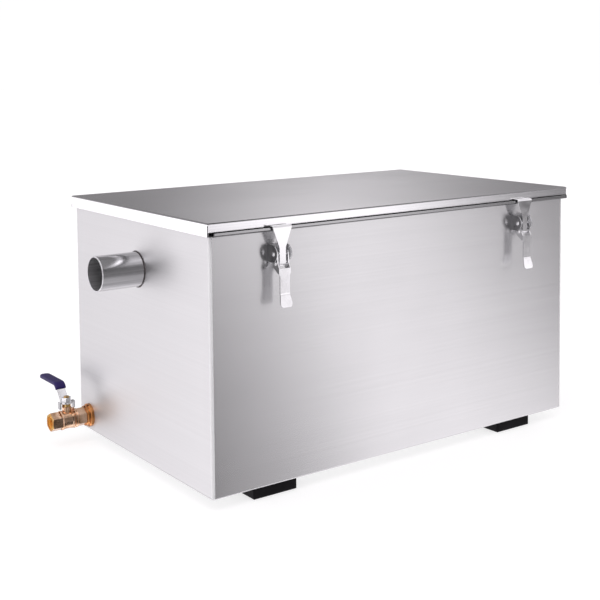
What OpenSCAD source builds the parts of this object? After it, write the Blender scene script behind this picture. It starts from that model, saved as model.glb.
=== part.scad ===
// Free-standing stainless steel grease trap: a folded tank with a lift-off lid, four toggle
// latches, a strainer and baffles inside, pipe stubs at both ends and a drain ball valve.
// X runs along the tank with the inlet at -X, the front with two latches is at -Y, Z is up.

/* [Tank] */
// Outside length of the folded tank
tank_l = 670; // [600:1:900]
// Outside width of the tank, front to back
tank_w = 400; // [340:1:600]
// Outside height of the tank without lid and feet
tank_h = 360; // [340:1:480]
// Thickness of the tank sheet
tank_t = 1.2; // [0.8:0.1:2]
// Outside radius of the tank's folds
fold_r = 3; // [2.2:0.1:6]
// Width of the rim that is folded inwards at the top
rim_w = 22; // [20:1:36]
// Flat width beside the fold on the edges of the end panels
end_flange = 1; // [0.5:0.1:10]

/* [Lid] */
// Thickness of the lid sheet
lid_t = 1.2; // [0.8:0.1:1.6]
// Free space between the tank wall and the lid's skirt
lid_gap = 3.8; // [2:0.1:5]
// Depth of the skirt from the lid's top
skirt_h = 18; // [14:0.5:30]
// Outside radius of the folds round the lid's top
lid_fold_r = 2; // [2:0.1:4]
// Width of the open seam at the skirt's corners
seam_w = 1.2; // [0.4:0.1:2]
// How far the hook rail stands out from the skirt
rail_out = 7; // [6:0.1:8]
// Height of the rail's upturned wall
rail_h = 5; // [4:0.1:7]
// Outside radius of the rail's fold
rail_fold_r = 2.2; // [2:0.1:3]
// Thickness of the pressed lid seal
seal_t = 4.8; // [2:0.1:8]
// Width of the lid seal
seal_w = 14; // [8:0.5:16]

/* [Feet] */
// Length of a rubber foot along the tank
foot_l = 72; // [40:1:120]
// Width of a rubber foot
foot_w = 60; // [40:1:120]
// Height of a rubber foot
foot_h = 17; // [10:0.5:40]
// Radius of the foot's edges
foot_r = 3; // [1:0.5:6]
// Distance of a foot from the tank's end
foot_inset = 68; // [20:1:120]
// Distance of a foot from the tank's front or back wall
foot_setback = 6; // [2:0.5:40]

/* [Pipes] */
// Outside diameter of the inlet and outlet pipes
pipe_d = 50; // [40:0.5:63]
// Wall of the pipes
pipe_t = 1.5; // [1:0.1:3]
// Reach of the pipes outside the tank
pipe_out = 65; // [40:1:120]
// Reach of the pipes inside the tank
pipe_in = 22; // [12:1:30]
// Height of the inlet's axis over the tank's bottom
inlet_z = 278; // [272:1:295]
// Height of the outlet's axis over the tank's bottom
outlet_z = 250; // [200:1:275]
// Bend radius of the outlet's dip pipe
dip_bend_r = 45; // [40:1:70]
// Height of the dip pipe's mouth over the tank's bottom
dip_z = 80; // [40:1:120]
// Weld gap between a pipe and the hole in the tank
weld_gap = 0.1; // [0.05:0.05:0.3]
// Size of the weld bead round a pipe on the tank's outside
weld_bead = 1.6; // [0.5:0.1:4]

/* [Strainer and baffles] */
// Length of the strainer basket along the tank
basket_l = 170; // [120:1:180]
// Depth of the strainer basket
basket_h = 120; // [80:1:140]
// Thickness of the basket sheet
basket_t = 1; // [0.8:0.1:2]
// Height of the basket's lip over the tank's bottom
basket_z = 236; // [200:1:240]
// Width of the basket's lip on its ledges
basket_lip = 12; // [8:0.5:16]
// Distance of the basket from the inlet wall
basket_gap = 14; // [6:1:24]
// Width of a drain slot in the basket
slot_w = 6; // [3:0.5:10]
// Spacing of the drain slots
slot_pitch = 36; // [24:1:60]
// Leg of the angle ledges that carry the basket
ledge_leg = 18; // [16:1:30]
// Thickness of the ledges and baffles
baffle_t = 1.5; // [1:0.1:3]
// Width of a baffle's folded side flange
baffle_flange = 16; // [8:1:30]
// Height of the passage under a baffle
passage_h = 60; // [30:1:100]
// Free height between a baffle and the tank's top
baffle_top_gap = 40; // [30:1:60]
// Distance of the first baffle from the inlet end
inlet_baffle_x = 215; // [210:1:260]
// Distance of the second baffle from the inlet end
outlet_baffle_x = 470; // [380:1:480]

/* [Drain valve] */
// Distance of the drain's axis from the tank's back wall
valve_inset = 33; // [32:1:100]
// Height of the drain's axis over the tank's bottom
valve_z = 24; // [22:0.5:60]
// Diameter of the nipple's outer flange
flange_d = 36; // [34:0.5:40]
// Thickness of the nipple's outer flange
flange_t = 5.5; // [3:0.5:8]
// Thickness of the nipple's inner ring
ring_t = 4.5; // [2:0.5:8]
// Outside radius of the nipple's thread
nipple_r = 10; // [9.5:0.1:10.4]
// Length of thread that the nipple has in the valve
nipple_grip = 10; // [6:0.5:11]
// Radius of the water way
bore_r = 7; // [5:0.1:7.2]
// Thickness of the inside washer
washer_t = 2; // [1:0.5:4]
// Width across flats of the inside lock nut
locknut_af = 30; // [28:0.5:34]
// Height of the inside lock nut
locknut_h = 8; // [5:0.5:12]
// Width across flats of the valve's hexagons
valve_af = 25; // [24:0.5:28]
// Length of the hexagon at the wall end
cap_hex_l = 13; // [12:0.5:18]
// Length of the hexagon at the open end
end_hex_l = 16; // [12:0.5:22]
// Radius of the ball
ball_r = 10; // [9:0.1:10.5]
// Radius of the threaded open end
outlet_thread_r = 9.3; // [8.5:0.1:10]
// Depth of the threaded open end
outlet_thread_l = 12; // [8:0.5:14]
// Height of the valve's stem tower over its axis
tower_h = 20.6; // [18:0.2:24]
// Radius of the stem tower
tower_r = 7; // [6:0.1:8]
// Radius of the stem
stem_r = 4; // [3:0.1:4.5]
// Height of the gland nut
gland_h = 5; // [3:0.5:8]
// Thickness of the lever's steel
lever_t = 2.5; // [2:0.1:4]
// Width of the lever's steel
lever_w = 13; // [11:0.5:16]
// Height that the lever climbs behind the stem
lever_rise = 23.5; // [10:0.5:30]
// Distance from the stem to the lever's upper bend
lever_run = 26; // [20:0.5:40]
// Reach of the lever from the stem
lever_reach = 85; // [60:1:120]
// Thickness of the vinyl round the lever
grip_t = 2; // [1.2:0.1:3]
// Width across flats of the nut on the stem
stem_nut_af = 13; // [12:0.5:16]
// Height of the nut on the stem
stem_nut_h = 6.5; // [4:0.5:8]
// Play of the turning valve pieces
valve_play = 0.05; // [0.02:0.01:0.1]

/* [Latches] */
// Distance of a latch's middle from the tank's end
latch_inset = 104; // [70:1:180]
// Thickness of the base and lever sheet
latch_t = 1.5; // [1.2:0.1:2]
// Thickness of the hook sheet
hook_t = 1.8; // [1.5:0.1:2]
// Distance of the pivots from the tank wall
pivot_out = 12; // [11.5:0.1:14]
// Height of the hook rail's edge over the lever's pivot
pivot_drop = 35.5; // [32:0.5:44]
// Distance between the lever's two pivots
link_l = 13; // [12:0.1:15]
// Radius of the lever's pivot pin
pivot_pin_r = 2; // [1.5:0.1:2.2]
// Radius of the hook's pivot pin
link_pin_r = 2.4; // [2.2:0.1:2.6]
// Width over the base's cheeks
base_w = 25; // [24:0.1:30]
// Height of the base
base_h = 23.4; // [20:0.2:28]
// Width over the lever's side walls
lever_outer_w = 19; // [18:0.1:20]
// Distance of the lever's face from the tank wall
lever_out = 21; // [20.5:0.1:24]
// Length of the lever from its pivot to its bend
lever_drop = 52; // [46:0.5:70]
// Length of the lever's bent tip
tip_l = 17; // [10:0.5:30]
// Angle of the lever's bent tip
tip_angle = 15; // [10:1:40]
// Width of the hook's stem
stem_w = 10; // [9:0.1:12.4]
// Width of the hook's top
hook_w = 30.8; // [24:0.2:40]
// Reach of the hook's lip over the rail
lip_in = 7.4; // [6:0.1:8]
// Height of the hook's lip over the rail's edge
lip_clear = 0.3; // [0.2:0.05:1]
// Running play of the latch pins
pin_play = 0.05; // [0.02:0.01:0.1]

/* [Hidden] */
$fn = 64;
eps = 0.01;
over = 40;

// Heights over the tank's bottom, and the skirt's distance from the tank wall
seal_top_z = tank_h + seal_t;
lid_top_z = seal_top_z + lid_t;
skirt_out = lid_gap + lid_t;
rail_top_z = lid_top_z - skirt_h + rail_h;
pivot_z = rail_top_z - pivot_drop;

// Distances from the tank's middle to an end panel's weld seam and to the drain's axis
end_seam = tank_l / 2 - fold_r - end_flange;
valve_y = tank_w / 2 - valve_inset;

// Valve sections, measured from the tank wall along the drain
cap_d = flange_t + ring_t;
cap_ring_d = cap_d + cap_hex_l;
cap_ring_t = 3;
body_d = cap_ring_d + cap_ring_t;
spigot_l = 4.5;
seat_t = 2.8;
seat_r = ball_r + 1;
ball_d = body_d + spigot_l + seat_t + 5.2;
chamber_end_d = 2 * ball_d - body_d - spigot_l;
collar_t = 3.5;
end_hex_d = chamber_end_d + collar_t;
valve_out = end_hex_d + end_hex_l;
barrel_r = seat_r + 2.8;
valve_hex_r = valve_af / sqrt(3);
gland_z = tower_h + gland_h;
lever_z = gland_z + 0.4;
stem_nut_z = lever_z + lever_t;
stem_top_z = stem_nut_z + stem_nut_h + 1.7;

// Valve lever: slope of its climb and the shift of a folded corner on its upper face
lever_foot = 8;
lever_slope = atan2(lever_rise, lever_run - lever_foot);
lever_corner = tan(lever_slope / 2);
ear_in = 10;
ear_w = 7;
ear_drop = 8;

// Latch: the hook's back face lies a little in front of the pivot pin
curl_r = link_pin_r + pin_play + hook_t;
hook_back = pivot_out + curl_r - hook_t;
hook_top = pivot_drop + lip_clear + hook_t;
hook_bend_r = 1.2;
window_gap = 6;
lever_ear_r = 5;
shoulder_l = 7;
pin_head_t = 1.2;
pin_head_r = 3.3;
tip_bend_r = 8;

// The origin is under the middle of the whole part, so the tank's own middle lies off it
grip_end = lever_reach + grip_t;
tip_out = lever_out + tip_bend_r * (1 - cos(tip_angle)) + tip_l * sin(tip_angle);
left_reach = tank_l / 2 + max(valve_out, pipe_out);
right_reach = tank_l / 2 + pipe_out;
front_reach = tank_w / 2 + tip_out;
back_reach = max(tank_w / 2 + tip_out, valve_y + grip_end);
tank_at = [(left_reach - right_reach) / 2, (front_reach - back_reach) / 2, foot_h];

LATCHES = ["front_left", "front_right", "back_left", "back_right"];
LATCH_PIECES = ["base", "lever", "hook", "pivot_pin", "link_pin"];

// A point of the bend in a latch lever's tip, from 0 where it starts to 1 where it ends
function bend_point(r, part) = -r * [cos(part * tip_angle), sin(part * tip_angle)];
function end_sign(corner) = corner == "front_left" || corner == "back_left" ? -1 : 1;
function side_sign(corner) = corner == "front_left" || corner == "front_right" ? -1 : 1;

STEEL = "#c9cacc";
POLISHED = "#dcdde0";
BRASS = "#c8aa96";
COPPER = "#be783c";
RUBBER = "#141216";
VINYL = "#3a2e73";
PLASTIC = "#ece9e0";

// A rectangle about the origin with round corners
module round_rect(size, r) {
  union() {
    square([size[0] - 2 * r, size[1]], center = true);
    square([size[0], size[1] - 2 * r], center = true);
    for (x = [-1, 1], y = [-1, 1])
      translate([x * (size[0] / 2 - r), y * (size[1] / 2 - r)]) circle(r);
  }
}

// A flat outline drawn in Y and Z, carried along X
module along_x(length) {
  rotate([90, 0, 90]) linear_extrude(length, center = true) children();
}

// A flat outline drawn in X and Z, carried along Y
module along_y(length) {
  rotate([90, 0, 0]) linear_extrude(length, center = true) children();
}

// A box on the origin with all its edges round, as folded sheet or moulded rubber has them
module round_box(l, w, h, r) {
  intersection() {
    linear_extrude(h) round_rect([l, w], r);
    along_x(l + over) translate([0, h / 2]) round_rect([w, h], r);
    along_y(w + over) translate([0, h / 2]) round_rect([l, h], r);
  }
}

// A round bar with chamfered ends, cut to a hexagon with two corners up and down
module hex_bar(af, h, chamfer) {
  corner_r = af / sqrt(3);
  intersection() {
    cylinder(r = corner_r, h = h, $fn = 6);
    rotate_extrude()
      polygon([
        [0, 0], [corner_r - chamfer, 0], [corner_r, chamfer],
        [corner_r, h - chamfer], [corner_r - chamfer, h], [0, h]
      ]);
  }
}

// Moves a piece from the tank's own middle to its place in the part
module in_tank() {
  translate(tank_at) children();
}

// Moves a piece to the drain: its Z then points away from the tank and its X points up
module at_drain(d) {
  in_tank() translate([-tank_l / 2 - d, valve_y, valve_z]) rotate([0, -90, 0]) children();
}

// Moves a piece to the valve's stem: its Z is the stem and its origin is the ball's middle
module at_stem() {
  in_tank() translate([-tank_l / 2 - ball_d, valve_y, valve_z]) children();
}

// All the tank's walls as one folded shell with its holes, before it is parted at the end seams
module tank_shell() {
  inner_l = tank_l - 2 * tank_t;
  inner_w = tank_w - 2 * tank_t;
  difference() {
    round_box(tank_l, tank_w, tank_h, fold_r);
    translate([0, 0, tank_t]) round_box(inner_l, inner_w, tank_h - 2 * tank_t, fold_r - tank_t);
    translate([0, 0, tank_h - over / 2])
      linear_extrude(over) round_rect([tank_l - 2 * rim_w, tank_w - 2 * rim_w], fold_r);
    translate([-tank_l / 2 - over / 2, 0, inlet_z]) rotate([0, 90, 0])
      cylinder(r = pipe_d / 2 + weld_gap, h = over);
    translate([tank_l / 2 - over / 2, 0, outlet_z]) rotate([0, 90, 0])
      cylinder(r = pipe_d / 2 + weld_gap, h = over);
    translate([-tank_l / 2 - over / 2, valve_y, valve_z]) rotate([0, 90, 0])
      cylinder(r = nipple_r + weld_gap, h = over);
  }
}

// The part of the shell between two distances from the tank's middle
module shell_between(from_x, to_x) {
  intersection() {
    tank_shell();
    translate([from_x, -tank_w, -over]) cube([to_x - from_x, 2 * tank_w, tank_h + 2 * over]);
  }
}

// The middle sheet: bottom, front and back wall and the rim
module tank() { color(STEEL) in_tank() shell_between(-end_seam, end_seam); }

// End panels with folded edges, welded to the middle sheet
module tank_end_inlet() { color(STEEL) in_tank() shell_between(-tank_l, -end_seam); }

module tank_end_outlet() { color(STEEL) in_tank() shell_between(end_seam, tank_l); }

// Section of the lid's skirt rail, out from the tank wall and up over the tank's bottom:
// the skirt's foot turns outwards and then up again
module rail_section() {
  foot_z = rail_top_z - rail_h;
  edge = skirt_out + rail_out;
  inner_r = rail_fold_r - lid_t;
  difference() {
    union() {
      translate([lid_gap, foot_z]) square([edge - rail_fold_r - lid_gap, rail_h]);
      translate([lid_gap, foot_z + rail_fold_r]) square([edge - lid_gap, rail_h - rail_fold_r]);
      translate([edge - rail_fold_r, foot_z + rail_fold_r]) circle(rail_fold_r);
    }
    translate([skirt_out, foot_z + lid_t]) square([rail_out - rail_fold_r, rail_h]);
    translate([skirt_out, foot_z + rail_fold_r]) square([rail_out - lid_t, rail_h]);
    translate([edge - rail_fold_r, foot_z + rail_fold_r]) circle(inner_r);
  }
}

// One of the lid's two hook rails, with its ends cut back at an angle
module hook_rail() {
  half = tank_l / 2 + skirt_out;
  intersection() {
    rotate([90, 0, -90]) linear_extrude(2 * half, center = true) rail_section();
    linear_extrude(lid_top_z)
      polygon([
        [-half, -lid_gap], [half, -lid_gap], [half, -skirt_out],
        [half - rail_out, -skirt_out - rail_out], [-half + rail_out, -skirt_out - rail_out],
        [-half, -skirt_out]
      ]);
  }
}

module lid() {
  outer_l = tank_l + 2 * skirt_out;
  outer_w = tank_w + 2 * skirt_out;
  foot_z = lid_top_z - skirt_h;
  seam_l = 4 * skirt_out;
  color(STEEL) in_tank() union() {
    difference() {
      translate([0, 0, foot_z]) intersection() {
        translate([-outer_l / 2, -outer_w / 2, 0]) cube([outer_l, outer_w, skirt_h]);
        along_x(outer_l + over) round_rect([outer_w, 2 * skirt_h], lid_fold_r);
        along_y(outer_w + over) round_rect([outer_l, 2 * skirt_h], lid_fold_r);
      }
      translate([0, 0, foot_z]) intersection() {
        translate([-outer_l / 2 + lid_t, -outer_w / 2 + lid_t, -over])
          cube([outer_l - 2 * lid_t, outer_w - 2 * lid_t, over + skirt_h - lid_t]);
        along_x(outer_l + over)
          round_rect([outer_w - 2 * lid_t, 2 * (skirt_h - lid_t)], lid_fold_r - lid_t);
        along_y(outer_w + over)
          round_rect([outer_l - 2 * lid_t, 2 * (skirt_h - lid_t)], lid_fold_r - lid_t);
      }
      for (x = [-1, 1], y = [-1, 1])
        translate([x * outer_l / 2, y * outer_w / 2, foot_z]) rotate(45 * x * y)
          translate([-seam_l / 2, -seam_w / 2, -over])
            cube([seam_l, seam_w, over + skirt_h - lid_fold_r - seam_w]);
    }
    for (turn = [0, 180]) rotate(turn) translate([0, -tank_w / 2, 0]) hook_rail();
  }
}

module lid_seal() {
  outer_l = tank_l - 2 * fold_r;
  outer_w = tank_w - 2 * fold_r;
  color(RUBBER) in_tank() translate([0, 0, tank_h]) linear_extrude(seal_t) difference() {
    round_rect([outer_l, outer_w], fold_r);
    round_rect([outer_l - 2 * seal_w, outer_w - 2 * seal_w], fold_r);
  }
}

// A pipe stub on Z from its inner end, with its weld bead and a softened outer edge
module pipe_stub() {
  wall_z = pipe_in + tank_t;
  length = wall_z + pipe_out;
  outer_r = pipe_d / 2;
  soft = pipe_t / 3;
  rotate_extrude()
    polygon([
      [outer_r - pipe_t, 0], [outer_r, 0], [outer_r, wall_z], [outer_r + weld_bead, wall_z],
      [outer_r, wall_z + weld_bead], [outer_r, length - soft], [outer_r - soft, length],
      [outer_r - pipe_t, length]
    ]);
}

module inlet_pipe() {
  color(POLISHED) in_tank()
    translate([-tank_l / 2 + tank_t + pipe_in, 0, inlet_z]) rotate([0, -90, 0]) pipe_stub();
}

module outlet_pipe() {
  color(POLISHED) in_tank()
    translate([tank_l / 2 - tank_t - pipe_in, 0, outlet_z]) rotate([0, 90, 0]) pipe_stub();
}

// The pipe inside the outlet that draws from under the grease
module outlet_dip_pipe() {
  bend_x = tank_l / 2 - tank_t - pipe_in;
  drop = outlet_z - dip_bend_r - dip_z;
  color(POLISHED) in_tank() {
    translate([bend_x, 0, outlet_z - dip_bend_r]) rotate([90, 0, 0]) rotate([0, 0, 90])
      rotate_extrude(angle = 90) translate([dip_bend_r, 0]) difference() {
        circle(pipe_d / 2);
        circle(pipe_d / 2 - pipe_t);
      }
    translate([bend_x - dip_bend_r, 0, dip_z]) difference() {
      cylinder(d = pipe_d, h = drop);
      translate([0, 0, -over / 2]) cylinder(r = pipe_d / 2 - pipe_t, h = drop + over);
    }
  }
}

// A row of slots along X, each drawn as a box that is cut from a wall
module slot_row(span, depth, height) {
  count = max(2, floor(span / slot_pitch));
  for (i = [0 : count - 1])
    translate([(i - (count - 1) / 2) * span / count - slot_w / 2, -depth / 2, 0])
      cube([slot_w, depth, height]);
}

module strainer_basket() {
  ledge_in = 2 * (tank_t + ledge_leg - basket_lip);
  box_w = tank_w - ledge_in - 2 * basket_lip - 2;
  slot_h = basket_h / 2;
  slot_z = basket_h / 5;
  x0 = -tank_l / 2 + tank_t + basket_gap + basket_l / 2;
  color(STEEL) in_tank() translate([x0, 0, basket_z - basket_h]) difference() {
    union() {
      translate([-basket_l / 2, -box_w / 2, 0]) cube([basket_l, box_w, basket_h]);
      translate([-basket_l / 2, -box_w / 2 - basket_lip, basket_h - basket_t])
        cube([basket_l, box_w + 2 * basket_lip, basket_t]);
    }
    translate([-basket_l / 2 + basket_t, -box_w / 2 + basket_t, basket_t])
      cube([basket_l - 2 * basket_t, box_w - 2 * basket_t, basket_h]);
    translate([0, 0, slot_z]) slot_row(basket_l, box_w + over, slot_h);
    translate([0, 0, slot_z]) rotate(90) slot_row(box_w, basket_l + over, slot_h);
    translate([0, 0, -over / 2]) rotate(90) slot_row(box_w, basket_l * 0.7, over);
  }
}

// An angle strip on the tank's wall; its upper leg carries the basket's lip
module basket_ledge(side) {
  x0 = -tank_l / 2 + tank_t + basket_gap;
  top_z = basket_z - basket_t;
  mirror([0, side > 0 ? 1 : 0, 0])
    translate([x0, -tank_w / 2 + tank_t, top_z - ledge_leg]) difference() {
      cube([basket_l, ledge_leg, ledge_leg]);
      translate([-over / 2, baffle_t, -over]) cube([basket_l + over, ledge_leg, over + ledge_leg - baffle_t]);
    }
}

module basket_ledge_front() { color(STEEL) in_tank() basket_ledge(-1); }

module basket_ledge_back() { color(STEEL) in_tank() basket_ledge(1); }

// A sheet across the tank with both sides folded along the walls and a passage under it
module baffle(x) {
  inner_w = tank_w - 2 * tank_t;
  plate_h = tank_h - passage_h - baffle_top_gap;
  translate([-tank_l / 2 + x, 0, passage_h]) difference() {
    translate([0, -inner_w / 2, 0]) cube([baffle_flange, inner_w, plate_h]);
    translate([baffle_t, -inner_w / 2 + baffle_t, -over / 2])
      cube([baffle_flange, inner_w - 2 * baffle_t, plate_h + over]);
  }
}

module inlet_baffle() { color(STEEL) in_tank() baffle(inlet_baffle_x); }

module outlet_baffle() { color(STEEL) in_tank() baffle(outlet_baffle_x); }

module foot(corner) {
  x = tank_l / 2 - foot_inset - foot_l / 2;
  y = tank_w / 2 - foot_setback - foot_w / 2;
  color(RUBBER) in_tank() translate([end_sign(corner) * x, side_sign(corner) * y, -foot_h])
    intersection() {
      round_box(foot_l, foot_w, foot_h + 2 * foot_r, foot_r);
      translate([-foot_l / 2, -foot_w / 2, 0]) cube([foot_l, foot_w, foot_h]);
    }
}

// Threaded tube through the tank wall, with a stepped flange that seats on the wall
module drain_nipple() {
  inside = tank_t + washer_t + locknut_h + 2;
  flange_r = flange_d / 2;
  ring_r = flange_r - 2.5;
  color(COPPER) at_drain(0) rotate_extrude()
    polygon([
      [bore_r, -inside], [nipple_r, -inside], [nipple_r, 0], [flange_r, 0],
      [flange_r, flange_t - 1.5], [flange_r - 1.5, flange_t], [ring_r, flange_t],
      [ring_r, cap_d - 1], [ring_r - 1, cap_d], [nipple_r, cap_d],
      [nipple_r, cap_d + nipple_grip], [bore_r, cap_d + nipple_grip]
    ]);
}

module drain_washer() {
  color(RUBBER) at_drain(-tank_t - washer_t) difference() {
    cylinder(d = flange_d - 2, h = washer_t);
    translate([0, 0, -over / 2]) cylinder(r = nipple_r + weld_gap, h = over);
  }
}

module drain_locknut() {
  color(COPPER) at_drain(-tank_t - washer_t - locknut_h) difference() {
    hex_bar(locknut_af, locknut_h, 1.5);
    translate([0, 0, -over / 2]) cylinder(r = nipple_r + weld_gap, h = over);
  }
}

// The half of the valve that is screwed on the nipple, with a spigot in the valve's body
module valve_end_cap() {
  ring_r = barrel_r + 0.9;
  socket_l = nipple_grip + 0.3;
  total = cap_hex_l + cap_ring_t + spigot_l;
  color(BRASS) at_drain(cap_d) difference() {
    union() {
      hex_bar(valve_af, cap_hex_l, 1.2);
      translate([0, 0, cap_hex_l]) rotate_extrude()
        polygon([
          [0, 0], [ring_r - 0.8, 0], [ring_r, 0.8], [ring_r, cap_ring_t - 0.6],
          [ring_r - 0.6, cap_ring_t], [0, cap_ring_t]
        ]);
      translate([0, 0, cap_hex_l + cap_ring_t - eps]) cylinder(r = seat_r, h = spigot_l + eps);
    }
    translate([0, 0, -over / 2]) cylinder(r = bore_r, h = total + over);
    translate([0, 0, -over / 2]) cylinder(r = nipple_r + weld_gap, h = over / 2 + socket_l);
  }
}

// The body: ringed barrel round the ball, stem tower with its stop, and hexagonal open end
module valve_body() {
  barrel_l = chamber_end_d - body_d;
  groove = 1.4;
  ring = 2.6;
  color(BRASS) difference() {
    union() {
      at_drain(body_d) rotate_extrude()
        polygon([
          [0, 0], [barrel_r + 0.4, 0], [barrel_r + 1, 0.6], [barrel_r + 1, ring],
          [barrel_r - 0.6, ring + groove / 2], [barrel_r - 0.6, ring + groove],
          [barrel_r + 0.6, 2 * ring], [barrel_r + 0.6, 2 * ring + groove],
          [barrel_r, 2 * ring + 2 * groove], [barrel_r, barrel_l - 1],
          [barrel_r + 1, barrel_l], [barrel_r + 1, barrel_l + collar_t - 1],
          [barrel_r - 0.6, barrel_l + collar_t], [0, barrel_l + collar_t]
        ]);
      at_drain(end_hex_d - collar_t / 2) hex_bar(valve_af, end_hex_l + collar_t / 2, 1.2);
      at_stem() cylinder(r = tower_r, h = tower_h);
      at_stem() rotate(-66) rotate_extrude(angle = 42)
        translate([tower_r - 1.5, 0]) square([ear_in + 3 - tower_r, tower_h - 1.5]);
    }
    at_drain(body_d - over) cylinder(r = seat_r + weld_gap, h = over + barrel_l);
    at_drain(body_d) cylinder(r = bore_r, h = valve_out - body_d);
    at_drain(valve_out - outlet_thread_l) cylinder(r = outlet_thread_r, h = outlet_thread_l + over);
    at_stem() cylinder(r = stem_r + valve_play, h = tower_h + over);
  }
}

// A soft ring that the ball turns against
module valve_seat(d) {
  color(PLASTIC) difference() {
    at_drain(d) difference() {
      cylinder(r = seat_r, h = seat_t);
      translate([0, 0, -over / 2]) cylinder(r = bore_r, h = over);
    }
    at_stem() sphere(ball_r + valve_play);
  }
}

module valve_seat_inner() { valve_seat(body_d + spigot_l); }

module valve_seat_outer() { valve_seat(chamber_end_d - seat_t); }

// The ball stands closed, with its bore across the water way and a slot for the stem on top
module valve_ball() {
  color(POLISHED) at_stem() difference() {
    sphere(ball_r);
    rotate([90, 0, 0]) cylinder(r = bore_r - 1, h = over, center = true);
    translate([-over / 2, -stem_r / 2 - valve_play, ball_r - 2.6])
      cube([over, stem_r + 2 * valve_play, over]);
  }
}

module valve_stem() {
  color(BRASS) at_stem() union() {
    translate([-stem_r * 0.8, -stem_r / 2, ball_r - 2.4]) cube([stem_r * 1.6, stem_r, 3.2]);
    translate([0, 0, ball_r + 0.4]) cylinder(r = stem_r, h = stem_top_z - ball_r - 0.4);
  }
}

module valve_gland_nut() {
  color(BRASS) at_stem() translate([0, 0, tower_h]) difference() {
    hex_bar(2 * tower_r - 1.4, gland_h, 0.8);
    translate([0, 0, -over / 2]) cylinder(r = stem_r + valve_play, h = over);
  }
}

// Side view of the lever from the stem towards the back, thickened by wall on both faces
module lever_side(wall, reach) {
  low = [lever_corner * wall, -wall];
  high = [-lever_corner * (lever_t + wall), lever_t + wall];
  foot = [lever_foot, 0];
  crest = [lever_run, lever_rise];
  polygon([
    [-lever_foot, -wall], foot + low, crest + low, [reach, lever_rise - wall],
    [reach, lever_rise + lever_t + wall], crest + high, foot + high, [-lever_foot, lever_t + wall]
  ]);
}

// Steel of the lever: a pad on the stem with two stop ears, and a blade with a round end
module lever_steel() {
  union() {
    intersection() {
      along_x(lever_w) lever_side(0, lever_reach);
      translate([0, 0, -over]) linear_extrude(2 * over) {
        translate([-lever_w / 2, -over]) square([lever_w, over + lever_reach - lever_w / 2]);
        translate([0, lever_reach - lever_w / 2]) circle(d = lever_w);
      }
    }
    cylinder(r = lever_foot + 1.5, h = lever_t);
    for (turn = [0, 180]) rotate(turn) translate([0, -ear_w / 2, 0]) {
      cube([ear_in + lever_t, ear_w, lever_t]);
      translate([ear_in, 0, -ear_drop]) cube([lever_t, ear_w, ear_drop + lever_t]);
    }
  }
}

module valve_lever() {
  color(POLISHED) at_stem() translate([0, 0, lever_z]) difference() {
    lever_steel();
    translate([0, 0, -over / 2]) cylinder(r = stem_r + valve_play, h = over);
  }
}

// A vinyl sleeve over the lever's upper half: thin rounded slices joined along the blade
module valve_grip() {
  size = [lever_w + 2 * grip_t, lever_t + 2 * grip_t];
  start = 0.67;
  mid_z = lever_rise + lever_t / 2;
  bend = [0, lever_run - lever_corner * lever_t / 2, mid_z];
  root = [0, lever_foot + start * (lever_run - lever_foot), start * lever_rise + lever_t / 2];
  color(VINYL) at_stem() translate([0, 0, lever_z]) difference() {
    union() {
      hull() {
        grip_slice(root, lever_slope, size, 2);
        grip_slice(bend, lever_slope / 2, size, 2);
      }
      hull() {
        grip_slice(bend, lever_slope / 2, size, 2);
        grip_slice([0, grip_end - lever_w / 2, mid_z], 0, size, 2);
      }
      hull() {
        grip_slice([0, grip_end - lever_w / 2, mid_z], 0, size, 2);
        grip_slice([0, grip_end - lever_w / 5, mid_z], 0, [size[0] * 0.8, size[1]], 2);
        grip_slice([0, grip_end, mid_z], 0, [size[0] * 0.42, size[1] * 0.7], 1.4);
      }
    }
    lever_steel();
  }
}

// One cross-section of the grip, a thin plate with round corners, tilted about X
module grip_slice(at, tilt, size, r) {
  translate(at) rotate([90 + tilt, 0, 0])
    linear_extrude(eps) round_rect(size, r, $fn = 24);
}

module valve_lever_nut() {
  color(POLISHED) at_stem() translate([0, 0, stem_nut_z]) difference() {
    hex_bar(stem_nut_af, stem_nut_h, 1);
    translate([0, 0, -over / 2]) cylinder(r = stem_r + valve_play, h = over);
  }
}

// Moves a latch piece to its corner. Its own origin is on the tank wall at the lever's pivot,
// with -Y pointing out from the wall
module at_latch(corner) {
  x = end_sign(corner) * (tank_l / 2 - latch_inset);
  in_tank() translate([x, side_sign(corner) * tank_w / 2, pivot_z])
    rotate(side_sign(corner) < 0 ? 0 : 180) children();
}

// A side view, drawn out from the wall and up, carried across the latch
module across(width) {
  rotate([90, 0, -90]) linear_extrude(width, center = true) children();
}

// A front view, carried out from the wall
module outwards(depth) {
  rotate([90, 0, 0]) linear_extrude(depth) children();
}

// A pin across the latch with domed heads outside the given width
module latch_pin(r, width) {
  dome_r = (pin_head_r * pin_head_r + pin_head_t * pin_head_t) / (2 * pin_head_t);
  rotate([0, 90, 0]) {
    cylinder(r = r, h = width + 2 * eps, center = true);
    for (turn = [0, 180]) rotate([turn, 0, 0]) translate([0, 0, width / 2]) intersection() {
      translate([0, 0, pin_head_t - dome_r]) sphere(dome_r);
      translate([-over, -over, 0]) cube(2 * over);
    }
  }
}

// Back plate with two D-shaped cheeks
module latch_base(corner) {
  cheek_r = base_h / 2;
  color(POLISHED) at_latch(corner) difference() {
    across(base_w) union() {
      translate([0, -base_h / 2]) square([pivot_out * 0.7, base_h]);
      translate([pivot_out * 0.7, 0]) circle(cheek_r);
    }
    across(base_w - 2 * latch_t)
      translate([latch_t, -base_h]) square([over, 2 * base_h]);
    translate([-base_w, 0, -over / 2]) cube([2 * base_w, over, over]);
    translate([0, -pivot_out, 0]) rotate([0, 90, 0])
      cylinder(r = pivot_pin_r + pin_play, h = 2 * base_w, center = true);
  }
}

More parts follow.
